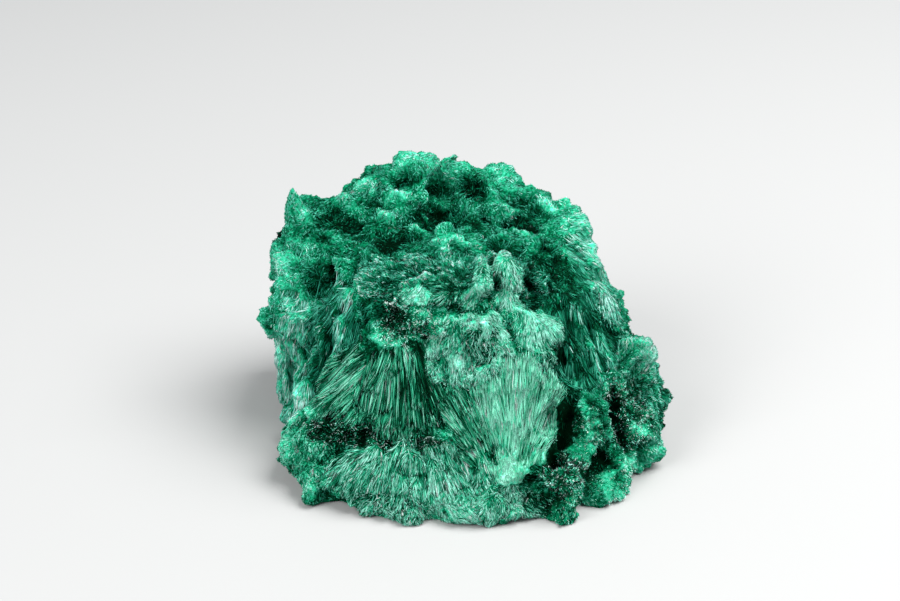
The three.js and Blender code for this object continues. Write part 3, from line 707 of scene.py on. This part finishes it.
def tones_at(places, level, zone, hollow):
    """The tone of the growth at each place, before each needle differs, with painted light where it stands
    high and painted shade where it lies low or in a hollow lump.
    """
    tones = np.array([z.tone for z in ZONES] + [OPEN_TONE])[zone]
    tones = tones - HOLLOW_SHADE * (hollow & (zone < 0)) + marked(places)[1]
    tones += LEVEL_PAINTED_LIGHT_AND_SHADE * np.clip(level, LOW_LEVEL, HIGH_LEVEL)
    return tones + swells(places, TONE_SWELLS)


def dome_rise(dome, height, uneven):
    """How far a dome of this height stands above or below the rock's plain places."""
    return height * (dome - DOME_MIDDLE) + uneven * dome


def raised(places, zone, roots, lump_dome, lump_uneven):
    """How far the rock rises at each place: lumps, crumbs, cavities, flutes, swells and marks."""
    flute_share, lump_share, crumb_share = (column(field)[zone] for field in ("flute", "lump", "crumb"))
    crumb_dome, crumb_uneven = crumbs_at(places)
    rise = lump_share * dome_rise(lump_dome, LUMP_HEIGHT, lump_uneven)
    rise += crumb_share * dome_rise(crumb_dome, CRUMB_HEIGHT, crumb_uneven)
    rise -= lump_share * CAVITY_DEPTH * np.clip(-noise(places, *CAVITIES) - CAVITY_START, 0, 1)
    rise += flute_share * swells(squeezed(places, roots), FLUTES)
    rise += swells(places, ROCK_SWELLS)
    return rise + marked(places)[0]


def set_relief(mesh, plain, normals, rise):
    """Moves the vertices out from their plain places, but none of those on the flat base."""
    standing = np.clip(plain[:, 2] / FLAT_BASE - 1, 0, 1)
    places = plain + normals * (rise * standing)[:, None]
    places[:, 2] = np.maximum(places[:, 2], 0)
    mesh.vertices.foreach_set("co", (places * MM).astype(np.float32).ravel())
    mesh.update()
    mesh.shade_smooth()


def make_rock():
    """The rock: the node's shape, a little smaller, with its relief. Its plain places are where its vertices
    were before that relief, and its levels are how far each then rose."""
    mesh = remeshed_node()
    normals, edges = points_of(mesh, "normal"), edges_of(mesh)
    plain = evened(points_of(mesh, "place"), edges, ROCK_EVENING)
    zone = zones_at(plain)
    centres, lump_roots, uneven, hollow = grow_lumps(plain, normals, zone)
    lump, dome = domes(drifted(plain, *LUMP_DRIFT), centres)
    rise = raised(plain, zone, zone_roots(zone, lump, lump_roots), dome, uneven[lump])
    rise = evened(np.stack([rise], axis=1), edges, 1)[:, 0] - NEEDLE_COAT
    set_relief(mesh, plain, normals, rise)
    level = rise + NEEDLE_COAT
    # The rock under the needles is painted darker, as painted shade between them.
    painted_shade_under = np.where(column("lying")[zone] > 0.5, SHADE_UNDER_LYING, SHADE_UNDER_STANDING)
    tone = mesh.attributes.new("tone", "FLOAT", "POINT")
    tone.data.foreach_set("value", (tones_at(plain, level, zone, hollow[lump]) - painted_shade_under).astype(np.float32))
    return linked("malachite_rock", mesh), plain, level, (centres, lump_roots, hollow)


def scattered(mesh, plain, levels, count):
    """Random places on the rock, with their normals, plain places and levels, and the rock's whole area."""
    corners = corners_of(mesh)
    places, normals = points_of(mesh, "place"), points_of(mesh, "normal")
    a, b, c = (places[corners[:, i]] for i in range(3))
    area = np.linalg.norm(np.cross(b - a, c - a), axis=1) / 2
    pick = RANDOM.choice(len(area), count, p=area / area.sum())
    u, v = RANDOM.random(count), RANDOM.random(count)
    over = u + v > 1
    u, v = np.where(over, 1 - u, u), np.where(over, 1 - v, v)
    shares = np.stack([1 - u - v, u, v], axis=1)
    chosen = corners[pick]
    place = (places[chosen] * shares[:, :, None]).sum(axis=1)
    normal = unit((normals[chosen] * shares[:, :, None]).sum(axis=1))
    under = (plain[chosen] * shares[:, :, None]).sum(axis=1)
    level = (levels[chosen] * shares).sum(axis=1)
    return place, normal, under, level, area.sum()


def feathered_zones(under):
    """The zone of each needle, mixed a little along the zones' edges. Only bare zones keep a sharp edge."""
    zone, loose = zones_at(under), zones_at(under + FEATHER * RANDOM.normal(size=under.shape))
    sharp = np.array([z.habit == "bare" for z in ZONES] + [False])
    return np.where(sharp[zone] | sharp[loose], zone, loose)


def rooted_needles(rock, plain, levels, lumps):
    """Where every needle stands: as many as each habit's crowding says, and none on the flat base."""
    centres, lump_roots, hollow = lumps
    place, normal, under, level, area = scattered(rock.data, plain, levels, NEEDLE_TRIES)
    zone = feathered_zones(under)
    kept = RANDOM.random(len(place)) < column("crowding")[zone] * area / NEEDLE_TRIES
    kept &= ~((place[:, 2] < FLAT_BASE) & (normal[:, 2] < FACING_DOWN))
    place, normal, under, level, zone = (values[kept] for values in (place, normal, under, level, zone))
    lump, _ = domes(drifted(under, *LUMP_DRIFT), centres)
    return Needles(place, normal, under, level, zone, zone_roots(zone, lump, lump_roots), hollow[lump])


def bundled(spots):
    """The needles' bundles: strands round some leading needles, and sheaves round some of those leaders."""
    leaders = RANDOM.choice(len(spots), len(spots) // NEEDLES_IN_STRAND, replace=False)
    strand = nearest(spots[leaders], spots)
    heads = RANDOM.choice(leaders, len(leaders) // STRANDS_IN_SHEAF, replace=False)
    return Bundles(leaders, strand, heads, nearest(spots[heads], spots[leaders])[strand])


def shared_normals(bundles, shares, size=()):
    """Random numbers that are partly a needle's sheaf's, partly its strand's and partly its own."""
    sheaf_share, strand_share, own_share = shares
    of_sheaf = RANDOM.normal(size=(len(bundles.heads), *size))[bundles.sheaf]
    of_strand = RANDOM.normal(size=(len(bundles.leaders), *size))[bundles.strand]
    own = RANDOM.normal(size=(len(bundles.strand), *size))
    return sheaf_share * of_sheaf + strand_share * of_strand + own_share * own


def headings(place, normal, roots, lying, turn):
    """Which way each needle points: away from its root, turned aside by turn."""
    out = unit(place - roots)
    flat = unit(out - normal * dots(out, normal)[:, None])
    way = np.where(lying[:, None], flat, out)
    way = unit(way + turn)
    flat = unit(way - normal * dots(way, normal)[:, None])
    outward = way + normal * np.clip(STANDING_LEAN - dots(way, normal), 0, None)[:, None]
    return np.where(lying[:, None], flat, unit(outward))


def cut_at_borders(needles, way, length, lying):
    """The needles' lengths, cut so that lying ones stay in their own zone."""
    for _ in range(STAY_STEPS):
        astray = lying & (zones_at(needles.under + way * length[:, None]) != needles.zone)
        length[astray] *= STAY_SHARE
    return length


def gathered_tips(needles, bundles, way, length):
    """The needles' tips, which lean towards the tip of the leading needle of their strand."""
    place, leaders, strand = needles.place, bundles.leaders, bundles.strand
    tip = place + way * length[:, None]
    lead = place[leaders][strand] + way[leaders][strand] * length[:, None]
    aside = lead - tip
    aside -= way * dots(aside, way)[:, None]
    return tip + aside * column("gather")[needles.zone][:, None]


def landed(tree, foot, tip, rise):
    """A lying needle's tip, brought to the rock and lifted off it by rise. Where it would bridge a hollow or
    stand over an edge, the needle is cut shorter."""
    for share in SHORTER_SHARES:
        aim = foot + (tip - foot) * share
        spot, normal, _, drop = tree.find_nearest(Vector(aim * MM))
        if drop / MM < BRIDGE_LIMIT * (1 + share):
            break
    return np.array(spot) / MM + np.array(normal) * rise


def settled(rock, needles, tip, width, rise, strand_rise, lying):
    """The needles' feet and tips, laid on the rock. Half of the lying ones are turned end for end."""
    tree = BVHTree.FromObject(rock, bpy.context.evaluated_depsgraph_get())
    for i in np.flatnonzero(lying):
        tip[i] = landed(tree, needles.place[i], tip[i], rise[i])
    lift = np.where(lying, FOOT_LIFT * rise * strand_rise - LYING_FOOT_DEPTH, -STANDING_FOOT_DEPTH)
    foot = needles.place + needles.normal * lift[:, None]
    turned = lying & (RANDOM.random(len(foot)) < 0.5)
    foot[turned], tip[turned] = tip[turned], foot[turned]
    foot[:, 2] = np.maximum(foot[:, 2], BASE_CLEARANCE + width)
    tip[:, 2] = np.maximum(tip[:, 2], BASE_CLEARANCE)
    return foot, tip


def shades_of(needles, bundles):
    """Each needle's place on the map of colours."""
    zone = needles.zone
    tones = tones_at(needles.under, needles.level, zone, needles.hollow)
    tones += column("spread")[zone] * shared_normals(bundles, TONE_SHARES)
    # Painted highlight: a share of the needles, set by each habit's glint, is painted paler.
    tones += GLINT * (RANDOM.random(len(zone)) < column("glint")[zone])
    tones = np.clip(tones, DARKEST, PALEST)
    dusty = RANDOM.random(len(bundles.leaders))[bundles.strand] < column("dust")[zone]
    return np.where(dusty, DUST_START + (1 - DUST_START) * tones, GREEN_END * tones)


def grown(rock, plain, levels, lumps):
    """Every needle, as its foot, tip, width, shade and piece."""
    needles = rooted_needles(rock, plain, levels, lumps)
    zone, count = needles.zone, len(needles.place)
    lying = column("lying")[zone] > 0.5
    bundles = bundled(squeezed(needles.place, needles.root))
    turn = column("stray")[zone][:, None] * shared_normals(bundles, TURN_SHARES, (3,))
    way = headings(needles.place, needles.normal, needles.root, lying, turn)
    strand_size = RANDOM.uniform(*STRAND_SIZES, len(bundles.leaders))[bundles.strand]
    length = between(column("length")[zone], RANDOM.random(count) ** SHORT_POWER) * strand_size
    width = RANDOM.uniform(*column("width")[zone].T)
    larger_share, smaller_share = RISE_SHARES
    strand_rise = larger_share * RANDOM.random(len(bundles.leaders))[bundles.strand]
    strand_rise += smaller_share * RANDOM.random(len(bundles.heads))[bundles.sheaf]
    rise = between(column("rise")[zone], larger_share * strand_rise + smaller_share * RANDOM.random(count))
    length = cut_at_borders(needles, way, length, lying)
    tip = gathered_tips(needles, bundles, way, length)
    foot, tip = settled(rock, needles, tip, width, rise, strand_rise, lying)
    return foot, tip, width, shades_of(needles, bundles), piece_of(needles.place, zone)


def piece_of(place, zone):
    """The piece that each needle belongs to."""
    names = np.array([z.piece for z in ZONES] + ["-"])[zone]
    x, y, z = place.T
    side = np.where(x < 0, "left_side", "right_side")
    open_piece = np.where(z + TOP_SLOPE * y > TOP_START, "top_velvet", side)
    open_piece = np.where((y > BACK_START) & (open_piece != "top_velvet"), "back_side", open_piece)
    return np.where(zone < 0, open_piece, names)


def sliver_points(foot, tip, width):
    """Four points for each needle: three round its foot and one at its tip."""
    way = unit(tip - foot)
    side = unit(np.cross(way, RANDOM.normal(size=way.shape)))
    up = np.cross(way, side)
    ring = []
    for turn in (0, 2 * math.pi / 3, 4 * math.pi / 3):
        ring.append(foot + (side * math.cos(turn) + up * math.sin(turn)) * width[:, None] / 2)
    points = np.stack(ring + [tip], axis=1).reshape(-1, 3)
    points[:, 2] = np.maximum(points[:, 2], BASE_CLEARANCE / 2)
    return points


def triangle_mesh(name, points, faces):
    """A mesh of triangles, from points in millimetres."""
    mesh = bpy.data.meshes.new(name)
    mesh.vertices.add(len(points))
    mesh.vertices.foreach_set("co", (points * MM).astype(np.float32).ravel())
    mesh.loops.add(faces.size)
    mesh.loops.foreach_set("vertex_index", faces.astype(np.int32).ravel())
    mesh.polygons.add(len(faces))
    mesh.polygons.foreach_set("loop_start", np.arange(0, faces.size, 3, dtype=np.int32))
    mesh.update(calc_edges=True)
    mesh.shade_flat()
    return mesh


def needle_piece(name, foot, tip, width, shade, material):
    """One piece of many needles, each a closed sliver with three long faces. Its map holds the shade and the
    place along the needle."""
    count = len(foot)
    faces = (SLIVER_FACES[None] + 4 * np.arange(count)[:, None, None]).reshape(-1, 3)
    mesh = triangle_mesh(name, sliver_points(foot, tip, width), faces)
    spot = np.zeros((count, 4, 2))
    spot[:, :, 0] = shade[:, None] + SLIVER_ACROSS * SHADE_WIDTH
    spot[:, :, 1] = SLIVER_ALONG
    layer = mesh.uv_layers.new(name=NEEDLE_MAP)
    layer.uv.foreach_set("vector", spot.reshape(-1, 2)[faces.ravel()].astype(np.float32).ravel())
    mesh.materials.append(material)
    return linked(name, mesh)


def new_material(name, roughness, specular):
    """A material with its shader, whose even values are on the shader's own sockets."""
    material = bpy.data.materials.new(name)
    material.use_nodes = True
    nodes, links = material.node_tree.nodes, material.node_tree.links
    shader = nodes["Principled BSDF"]
    shader.inputs["Roughness"].default_value = roughness
    shader.inputs["Specular IOR Level"].default_value = specular
    shader.inputs["Specular Tint"].default_value = GLOSS_TINT
    return material, nodes, links, shader


def ramp_node(nodes, stops):
    """A colour ramp with these stops."""
    ramp = nodes.new("ShaderNodeValToRGB")
    elements = ramp.color_ramp.elements
    elements.remove(elements[1])
    elements[0].color = (*stops[0][1], 1)
    for place, colour in stops[1:]:
        elements.new(place).color = (*colour, 1)
    return ramp


def range_node(nodes, taken, given):
    """A node that turns the numbers of one range into those of another."""
    node = nodes.new("ShaderNodeMapRange")
    for name, value in zip(("From Min", "From Max", "To Min", "To Max"), (*taken, *given)):
        node.inputs[name].default_value = value
    return node


def needle_material(name, purity, look):
    """Needles: tone from the map's first number, and from its second a painted shade at the foot that clears
    towards the tip, where painted light makes the needle paler than its tone.
    """
    material, nodes, links, shader = new_material(name, look.roughness, NEEDLE_GLOSS)
    place = nodes.new("ShaderNodeUVMap")
    place.uv_map = NEEDLE_MAP
    split = nodes.new("ShaderNodeSeparateXYZ")
    links.new(place.outputs["UV"], split.inputs["Vector"])
    red, blue = purity
    greens = [(GREEN_END * at, (red * r, g, min(1, blue * b))) for at, (r, g, b) in GREENS]
    ramp = ramp_node(nodes, greens + [(DUST_START + (1 - DUST_START) * at, colour) for at, colour in DUSTS])
    links.new(split.outputs["X"], ramp.inputs["Fac"])
    along = range_node(nodes, (0, CLEAR_FROM), (look.foot_shade, TIP_PAINTED_LIGHT))
    links.new(split.outputs["Y"], along.inputs["Value"])
    # Painted shade at the foot and painted light towards the tip scale the needle's colour.
    shade = nodes.new("ShaderNodeVectorMath")
    shade.operation = "SCALE"
    links.new(ramp.outputs["Color"], shade.inputs[0])
    links.new(along.outputs["Result"], shade.inputs["Scale"])
    links.new(shade.outputs["Vector"], shader.inputs["Base Color"])
    return material


def rock_material():
    """The rock between the needles: deep green, with painted light where it stands up, painted shade where it
    lies low and under the needles, and a fine grain.
    """
    material, nodes, links, shader = new_material("malachite_rock", ROCK_ROUGHNESS, ROCK_GLOSS)
    place = nodes.new("ShaderNodeTexCoord")
    grain = nodes.new("ShaderNodeTexNoise")
    grain.inputs["Scale"].default_value = GRAINS_IN_METRE
    grain.inputs["Detail"].default_value = GRAIN_DETAIL
    links.new(place.outputs["Object"], grain.inputs["Vector"])
    tone = nodes.new("ShaderNodeAttribute")
    tone.attribute_name = "tone"
    spread = range_node(nodes, GRAIN_RANGE, GRAIN_TONES)
    links.new(grain.outputs["Fac"], spread.inputs["Value"])
    mixed = nodes.new("ShaderNodeMath")
    mixed.operation = "ADD"
    links.new(tone.outputs["Fac"], mixed.inputs[0])
    links.new(spread.outputs["Result"], mixed.inputs[1])
    ramp = ramp_node(nodes, GREENS)
    links.new(mixed.outputs["Value"], ramp.inputs["Fac"])
    links.new(ramp.outputs["Color"], shader.inputs["Base Color"])
    bump = nodes.new("ShaderNodeBump")
    bump.inputs["Strength"].default_value = BUMP_STRENGTH
    bump.inputs["Distance"].default_value = BUMP_DEPTH * MM
    links.new(grain.outputs["Fac"], bump.inputs["Height"])
    links.new(bump.outputs["Normal"], shader.inputs["Normal"])
    return material


def dress(piece):
    """Puts a piece on the specimen's body."""
    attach(piece, BODY)


def make_specimen():
    """The rock and every piece of needles on it."""
    rock, plain, levels, lumps = make_rock()
    rock.data.materials.clear()
    rock.data.materials.append(rock_material())
    dress(rock)
    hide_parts(NODE)
    foot, tip, width, shade, names = grown(rock, plain, levels, lumps)
    for name in sorted(set(names)):
        mine = names == name
        look = CRYSTAL_LOOK if name == "crystal_crusts" else FIBRE_LOOK
        material = needle_material("malachite_" + name, PURITY[name], look)
        dress(needle_piece(name, foot[mine], tip[mine], width[mine], shade[mine], material))
        print(name, len(SLIVER_FACES) * int(mine.sum()), "triangles")
    print("rock", sum(len(p.vertices) - 2 for p in rock.data.polygons), "triangles")


def make_floor():
    """A plain pale floor."""
    mesh = bpy.data.meshes.new("floor")
    half = FLOOR_SIDE / 2
    corners = [(-half, -half, 0), (half, -half, 0), (half, half, 0), (-half, half, 0)]
    mesh.from_pydata(corners, [], [(0, 1, 2, 3)])
    material = bpy.data.materials.new("floor")
    material.use_nodes = True
    shader = material.node_tree.nodes["Principled BSDF"]
    shader.inputs["Roughness"].default_value = FLOOR_ROUGHNESS
    shader.inputs["Base Color"].default_value = FLOOR_COLOUR
    mesh.materials.append(material)
    linked("floor", mesh)


def make_light(name, place, size, power):
    """A soft square light at place that faces the specimen."""
    data = bpy.data.lights.new(name, "AREA")
    data.shape = "SQUARE"
    data.size = size
    data.energy = power
    light = linked(name, data)
    light.location = place
    light.rotation_euler = (Vector(LIGHT_AIM) - Vector(place)).to_track_quat("-Z", "Y").to_euler()


def make_world():
    """The even light from all round."""
    world = bpy.data.worlds.new("soft_light")
    world.use_nodes = True
    background = world.node_tree.nodes["Background"]
    background.inputs["Color"].default_value = WORLD_COLOUR
    background.inputs["Strength"].default_value = WORLD_STRENGTH
    bpy.context.scene.world = world
    bpy.context.scene.view_settings.view_transform = "Standard"


def make_camera():
    """The camera, where the photo was taken from."""
    data = bpy.data.cameras.new("camera")
    data.lens = CAMERA_LENS
    data.sensor_width = SENSOR
    data.clip_start = CLIP_START
    camera = linked("camera", data)
    camera.location = CAMERA_PLACE
    camera.rotation_euler = (math.pi / 2 - CAMERA_PITCH, 0, 0)
    bpy.context.scene.camera = camera


make_specimen()
make_floor()
for light in LIGHTS:
    make_light(*light)
make_world()
make_camera()
